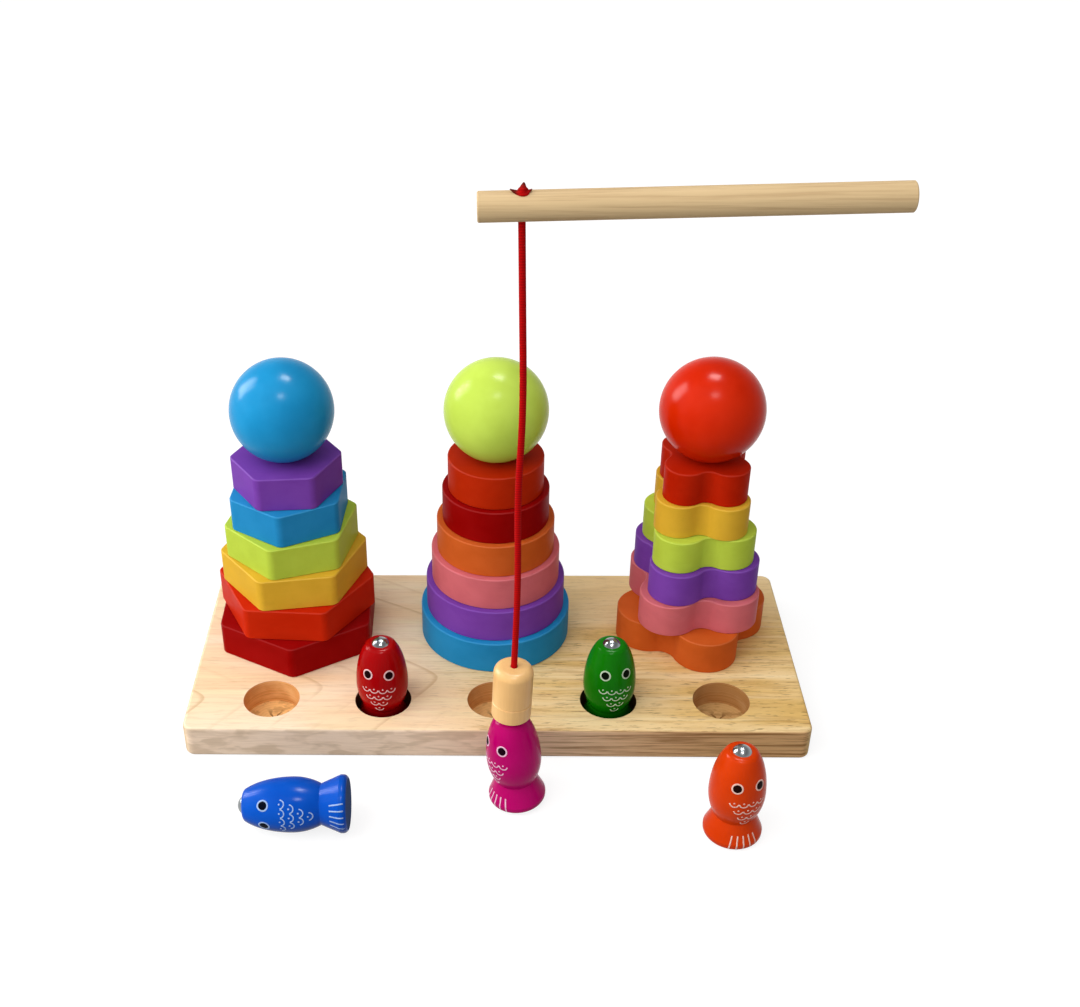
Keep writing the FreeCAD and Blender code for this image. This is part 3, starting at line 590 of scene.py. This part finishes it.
def make_materials():
    made = {
        "board_wood": board_wood(),
        "plain_wood": turned_wood("plain_wood", DOWEL_PALE, DOWEL_DARK, axis=2),
        "rod_wood": turned_wood("rod_wood", ROD_PALE, ROD_DARK, axis=0),
        "cream_wood": lacquered_wood("cream_wood", HOLDER_CREAM),
        "screw_steel": bright_metal("screw_steel", STEEL, roughness=0.18),
        "magnet_metal": bright_metal("magnet_metal", MAGNET, roughness=0.3),
        "red_cord": braided_cord("red_cord", CORD_COLOUR),
    }
    for name, colour in RING_COLOURS.items():
        made[name] = ring_paint(name, colour)
    for name, colour in BALL_COLOURS.items():
        made[name] = gloss_paint(name, colour, roughness=0.20)
    for name, colour in FISH_COLOURS.items():
        socket_shaded, lying = name in ("fish_red", "fish_green"), name == "fish_blue"
        made[name] = gloss_paint(name, colour, roughness=0.18, socket_shaded=socket_shaded, lying=lying)
    return made


def paint_nodes(materials):
    """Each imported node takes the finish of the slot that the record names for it."""
    slots = {row["node"]: row["material_slot"] for row in frame["record"]["subparts"]}
    for name, piece in NODES.items():
        slot = slots[name]
        if not piece.material_slots:
            piece.data.materials.append(None)
        for holder in piece.material_slots:
            holder.material = materials[slot]


def new_piece(name, vertices, faces, material):
    """A smooth mesh with outward faces that stays with the object."""
    mesh = bpy.data.meshes.new(name)
    mesh.from_pydata([tuple(v) for v in vertices], [], faces)
    mesh.update()
    work = bmesh.new()
    work.from_mesh(mesh)
    bmesh.ops.recalc_face_normals(work, faces=work.faces)
    work.to_mesh(mesh)
    work.free()
    for face in mesh.polygons:
        face.use_smooth = True
    mesh.materials.append(material)
    piece = bpy.data.objects.new(name, mesh)
    bpy.context.scene.collection.objects.link(piece)
    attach(piece, "root")
    return piece


def fish_radius(s):
    """The fish's radius in millimetres at a height s above the middle of its tail's end."""
    if s < TAIL_EDGE:
        return TAIL - TAIL_EDGE + math.sqrt(max(0.0, TAIL_EDGE**2 - (TAIL_EDGE - s) ** 2))
    if s < TAIL_RIM:
        return TAIL
    if s < NECK_AT:
        return TAIL + (NECK - TAIL) * (s - TAIL_RIM) / (NECK_AT - TAIL_RIM)
    if s < BELLY_AT:
        rise, swell = BELLY_AT - NECK_AT, BELLY - NECK
        arc = (rise**2 + swell**2) / (2 * swell)
        return BELLY - arc + math.sqrt(arc**2 - (BELLY_AT - s) ** 2)
    reach = (FISH_LENGTH - BELLY_AT) / math.sqrt(1 - (HEAD_FLAT / BELLY) ** 2)
    return BELLY * math.sqrt(max(0.0, 1 - ((s - BELLY_AT) / reach) ** 2))


class Skin:
    """A fish's surface: a point from an angle about its axis, a height along it and a distance off it."""

    def __init__(self, colour):
        base, tilt, self.facing = FISH[colour]
        turn = math.radians(tilt)
        self.base = Vector(base)
        self.across = Vector((math.cos(turn), 0, -math.sin(turn)))
        self.side = Vector((0, 1, 0))
        self.axis = Vector((math.sin(turn), 0, math.cos(turn)))

    def point(self, angle, s, off):
        step = 0.01
        slope = (fish_radius(s + step) - fish_radius(s - step)) / (2 * step)
        size = math.hypot(1.0, slope)
        radius = fish_radius(s) + off / size
        turn = math.radians(angle)
        out = self.across * math.cos(turn) + self.side * math.sin(turn)
        return (self.base + out * radius + self.axis * (s - off * slope / size)) * MM


class Print:
    """Thin closed patches that lie on a fish's skin, gathered into one mesh."""

    def __init__(self, skin, faces_at):
        self.skin = skin
        self.low, self.high = faces_at
        self.vertices, self.faces = [], []

    def sheet(self, rows, closed):
        """Closes a grid of (angle, s) rows into a patch with a top, a bottom and sides."""
        count, width = len(rows), len(rows[0])
        start = len(self.vertices)
        for off in (self.low, self.high):
            for row in rows:
                self.vertices.extend(self.skin.point(angle, s, off) for angle, s in row)
        top = start + count * width
        last = count if closed else count - 1
        for i in range(last):
            j = (i + 1) % count
            for k in range(width - 1):
                a, b, c, d = i * width + k, i * width + k + 1, j * width + k + 1, j * width + k
                self.faces.append((start + a, start + b, start + c, start + d))
                self.faces.append((top + a, top + d, top + c, top + b))
            for k in (0, width - 1):
                a, d = i * width + k, j * width + k
                self.faces.append((start + a, start + d, top + d, top + a))
        if not closed:
            for i in (0, count - 1):
                for k in range(width - 1):
                    a, b = i * width + k, i * width + k + 1
                    self.faces.append((start + a, start + b, top + b, top + a))

    def spot(self, centre, radius, turn):
        """The (angle, s) at a distance and direction on the skin from a centre (angle, s)."""
        u, v = radius * math.cos(turn), radius * math.sin(turn)
        return centre[0] + math.degrees(u / fish_radius(centre[1])), centre[1] + v

    def band(self, centre, inner, outer):
        """A ring about a centre, from an inner to an outer radius."""
        rows = []
        for i in range(RING_STEPS):
            turn = 2 * math.pi * i / RING_STEPS
            radii = [inner + (outer - inner) * k / BAND_STEPS for k in range(BAND_STEPS + 1)]
            rows.append([self.spot(centre, radius, turn) for radius in radii])
        self.sheet(rows, True)

    def disc(self, centre, radius):
        """A filled dot, closed at its middle by one fan on each side."""
        steps = RING_STEPS if radius > 1 else DOT_STEPS
        rings = BAND_STEPS if radius > 1 else 1
        start = len(self.vertices)
        self.vertices.append(self.skin.point(*centre, self.low))
        self.vertices.append(self.skin.point(*centre, self.high))
        for off in (self.low, self.high):
            for k in range(1, rings + 1):
                for i in range(steps):
                    angle, s = self.spot(centre, radius * k / rings, 2 * math.pi * i / steps)
                    self.vertices.append(self.skin.point(angle, s, off))
        for side in (0, 1):
            first = start + 2 + side * rings * steps
            for i in range(steps):
                j = (i + 1) % steps
                fan = (start + side, first + i, first + j)
                self.faces.append(fan if side else fan[::-1])
                for k in range(rings - 1):
                    a, b = first + k * steps, first + (k + 1) * steps
                    self.faces.append((a + i, b + i, b + j, a + j))
        rim = start + 2 + (rings - 1) * steps
        for i in range(steps):
            j = (i + 1) % steps
            self.faces.append((rim + i, rim + j, rim + rings * steps + j, rim + rings * steps + i))

    def stroke(self, points, width):
        """A brush line through points given in (angle, s)."""
        rows = []
        for i, (angle, s) in enumerate(points):
            before, after = points[max(0, i - 1)], points[min(len(points) - 1, i + 1)]
            radius = fish_radius(s)
            run = Vector((math.radians(after[0] - before[0]) * radius, after[1] - before[1])).normalized()
            u, v = -run.y * width / 2, run.x * width / 2
            rows.append([(angle + math.degrees(u * k / radius), s + v * k) for k in (-1, 0, 1)])
        self.sheet(rows, False)

    def finish(self, name, material):
        new_piece(name, self.vertices, self.faces, material)


def print_fish(colour, white, black):
    """Eyes, four rows of scales in a wedge, and five lines on the tail."""
    skin = Skin(colour)
    pale, dark = Print(skin, WHITE_FACES), Print(skin, BLACK_FACES)
    eye_level, row_level, row_step = PRINT_LEVELS[colour]
    for hand in (-1, 1):
        eye = (skin.facing + hand * EYE_APART, eye_level)
        pale.band(eye, PUPIL_RADIUS - PUPIL_LAP, EYE_RADIUS)
        dark.disc(eye, PUPIL_RADIUS)
    for row, count in enumerate(SCALE_COUNTS):
        height = row_level - row * row_step
        for k in range(count):
            angle = skin.facing + (k - (count - 1) / 2) * SCALE_APART
            pale.disc((angle, height), SCALE_DOT)
            arc = []
            for i in range(ARC_STEPS + 1):
                turn = math.radians(SCALE_START + SCALE_SWEEP * i / ARC_STEPS)
                u, v = SCALE_RADIUS * math.cos(turn), SCALE_RADIUS * math.sin(turn) * SCALE_STRETCH
                arc.append((angle + math.degrees(u / fish_radius(height)), height + v))
            pale.stroke(arc, SCALE_LINE)
    for top, bottom in TAIL_LINES:
        line = []
        for i in range(ARC_STEPS + 1):
            share = i / ARC_STEPS
            angle = skin.facing + top + (bottom - top) * share
            line.append((angle, TAIL_FROM + (TAIL_TO - TAIL_FROM) * share))
        pale.stroke(line, TAIL_LINE)
    pale.finish("print_white_" + colour, white)
    dark.finish("print_black_" + colour, black)


def make_prints():
    for colour in FISH:
        under = FISH_COLOURS["fish_" + colour]
        cover = WHITE_COVER_BLUE if colour == "blue" else WHITE_COVER
        white = print_ink("print_white_" + colour, INK_WHITE, under, cover)
        black = print_ink("print_black_" + colour, INK_BLACK, under, BLACK_COVER)
        print_fish(colour, white, black)


def make_cord(material):
    curve = bpy.data.curves.new("red_cord", "CURVE")
    curve.dimensions = "3D"
    curve.resolution_u = 12
    curve.bevel_depth = CORD_RADIUS
    curve.bevel_resolution = 5
    curve.use_fill_caps = True
    spline = curve.splines.new("NURBS")
    spline.points.add(len(CORD_ROUTE) - 1)
    for point, place in zip(spline.points, CORD_ROUTE):
        point.co = (*place, 1.0)
    spline.order_u = 3
    spline.use_endpoint_u = True
    curve.materials.append(material)
    cord = bpy.data.objects.new("red_cord", curve)
    bpy.context.scene.collection.objects.link(cord)
    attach(cord, "root")
    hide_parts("cord")
    return cord


def smooth_path(points):
    """Catmull-Rom points through the given ones, each with its radius as a fourth number."""
    found = []
    for i in range(len(points) - 1):
        a, b = points[max(0, i - 1)], points[i]
        c, d = points[i + 1], points[min(len(points) - 1, i + 2)]
        for k in range(STRAND_STEPS):
            t = k / STRAND_STEPS
            found.append([
                0.5 * (2 * q + (r - p) * t + (2 * p - 5 * q + 4 * r - w) * t * t + (3 * q - p - 3 * r + w) * t**3)
                for p, q, r, w in zip(a, b, c, d)
            ])
    found.append(list(points[-1]))
    return found


def add_tube(vertices, faces, points):
    """Adds a closed tube along points of (x, y, z, radius) in millimetres."""
    start = len(vertices)
    side = None
    for i, (x, y, z, radius) in enumerate(points):
        before, after = points[max(0, i - 1)], points[min(len(points) - 1, i + 1)]
        run = (Vector(after[:3]) - Vector(before[:3])).normalized()
        if side is None:
            side = run.orthogonal().normalized()
        side = (side - run * side.dot(run)).normalized()
        other = run.cross(side)
        for k in range(STRAND_SIDES):
            turn = 2 * math.pi * k / STRAND_SIDES
            spot = Vector((x, y, z)) + (side * math.cos(turn) + other * math.sin(turn)) * radius
            vertices.append(spot * MM)
    count = len(points)
    for i in range(count - 1):
        a, b = start + i * STRAND_SIDES, start + (i + 1) * STRAND_SIDES
        for k in range(STRAND_SIDES):
            j = (k + 1) % STRAND_SIDES
            faces.append((a + k, a + j, b + j, b + k))
    faces.append(tuple(start + k for k in reversed(range(STRAND_SIDES))))
    faces.append(tuple(start + (count - 1) * STRAND_SIDES + k for k in range(STRAND_SIDES)))


def make_knot(material):
    vertices, faces = [], []
    for strand in KNOT_STRANDS:
        add_tube(vertices, faces, smooth_path(strand))
    knot = new_piece("rod_knot", vertices, faces, material)
    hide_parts("cord_rod_knot")
    return knot


def seen_straight(tree):
    """1 where the eye, a mirror or glass looks, and 0 for plain light."""
    rays = tree.nodes.new("ShaderNodeLightPath")
    total = None
    for name in ("Is Camera Ray", "Is Glossy Ray", "Is Transmission Ray"):
        if total is None:
            total = rays.outputs[name]
            continue
        most = tree.nodes.new("ShaderNodeMath")
        most.operation = "MAXIMUM"
        tree.links.new(total, most.inputs[0])
        tree.links.new(rays.outputs[name], most.inputs[1])
        total = most.outputs[0]
    return total


def make_world():
    """White to the eye, softer overhead in gloss, and as light stronger from the upper left."""
    world = bpy.data.worlds.new("studio")
    bpy.context.scene.world = world
    world.use_nodes = True
    tree = world.node_tree
    tree.nodes.clear()

    def add(kind, *inputs, **settings):
        made = tree.nodes.new("ShaderNode" + kind)
        for key, value in settings.items():
            setattr(made, key, value)
        for index, value in enumerate(inputs):
            if isinstance(value, bpy.types.NodeSocket):
                tree.links.new(value, made.inputs[index])
            elif value is not None:
                made.inputs[index].default_value = value
        return made

    way = add("VectorMath", add("TexCoord").outputs["Generated"], operation="NORMALIZE").outputs[0]
    lean = add("VectorMath", way, Vector(WORLD_FROM).normalized(), operation="DOT_PRODUCT").outputs["Value"]
    light = add("Math", lean, WORLD_TILT, WORLD_LIGHT, operation="MULTIPLY_ADD", use_clamp=True).outputs[0]
    height = add("SeparateXYZ", way).outputs[2]
    ceiling = (height, CEILING_LOW, CEILING_HIGH, 1.0, CEILING_GLOSS)
    gloss = add("MapRange", *ceiling, interpolation_type="SMOOTHSTEP").outputs[0]
    rays = add("LightPath").outputs
    mirrored = add("Math", rays["Is Glossy Ray"], rays["Is Transmission Ray"], operation="MAXIMUM").outputs[0]
    level = add("Mix", mirrored, None, light, gloss).outputs[0]
    level = add("Mix", rays["Is Camera Ray"], None, level, 1.0).outputs[0]
    background = add("Background", (1, 1, 1, 1), level)
    output = add("OutputWorld")
    tree.links.new(background.outputs[0], output.inputs["Surface"])


def make_floor():
    """A grey floor for light, so that it keeps the shadow, lifted to white for the eye."""
    material = bpy.data.materials.new("floor")
    material.use_nodes = True
    tree = material.node_tree
    tree.nodes.clear()
    cover = tree.nodes.new("ShaderNodeBsdfDiffuse")
    cover.inputs["Color"].default_value = (FLOOR_WHITE, FLOOR_WHITE, FLOOR_WHITE, 1)
    glow = tree.nodes.new("ShaderNodeEmission")
    level = tree.nodes.new("ShaderNodeMath")
    level.operation = "MULTIPLY"
    level.inputs[1].default_value = FLOOR_LIFT
    tree.links.new(seen_straight(tree), level.inputs[0])
    tree.links.new(level.outputs[0], glow.inputs["Strength"])
    total = tree.nodes.new("ShaderNodeAddShader")
    tree.links.new(cover.outputs[0], total.inputs[0])
    tree.links.new(glow.outputs[0], total.inputs[1])
    output = tree.nodes.new("ShaderNodeOutputMaterial")
    tree.links.new(total.outputs[0], output.inputs["Surface"])
    corners = [(x * FLOOR_HALF, y * FLOOR_HALF, FLOOR_LEVEL) for x, y in ((-1, -1), (1, -1), (1, 1), (-1, 1))]
    mesh = bpy.data.meshes.new("floor")
    mesh.from_pydata(corners, [], [(0, 1, 2, 3)])
    mesh.materials.append(material)
    floor = bpy.data.objects.new("floor", mesh)
    bpy.context.scene.collection.objects.link(floor)


def add_lamp(name, data, place, target):
    lamp = bpy.data.objects.new(name, data)
    bpy.context.scene.collection.objects.link(lamp)
    lamp.location = place
    lamp.rotation_euler = (Vector(target) - Vector(place)).to_track_quat("-Z", "Y").to_euler()
    return lamp


def make_lamps():
    """A large soft key at the upper left, a low one at the left side, and three cards that only gloss shows."""
    for name, place, target, size, energy in SOFT_LAMPS:
        data = bpy.data.lights.new(name, "AREA")
        data.shape = "SQUARE"
        data.size = size
        data.energy = energy
        data.color = LAMP_COLOUR
        add_lamp(name, data, place, target).visible_glossy = False
    for name, place, width, height, energy in GLOSS_CARDS:
        data = bpy.data.lights.new(name, "AREA")
        data.shape = "RECTANGLE"
        data.size, data.size_y = width, height
        data.energy = energy
        add_lamp(name, data, place, CARDS_TARGET).visible_diffuse = False


def main():
    make_camera()
    materials = make_materials()
    cord = make_cord(materials["red_cord"])
    knot = make_knot(materials["red_cord"])
    paint_nodes(materials)
    make_prints()
    make_world()
    make_floor()
    make_lamps()
    bpy.context.scene.view_settings.view_transform = "Standard"


main()
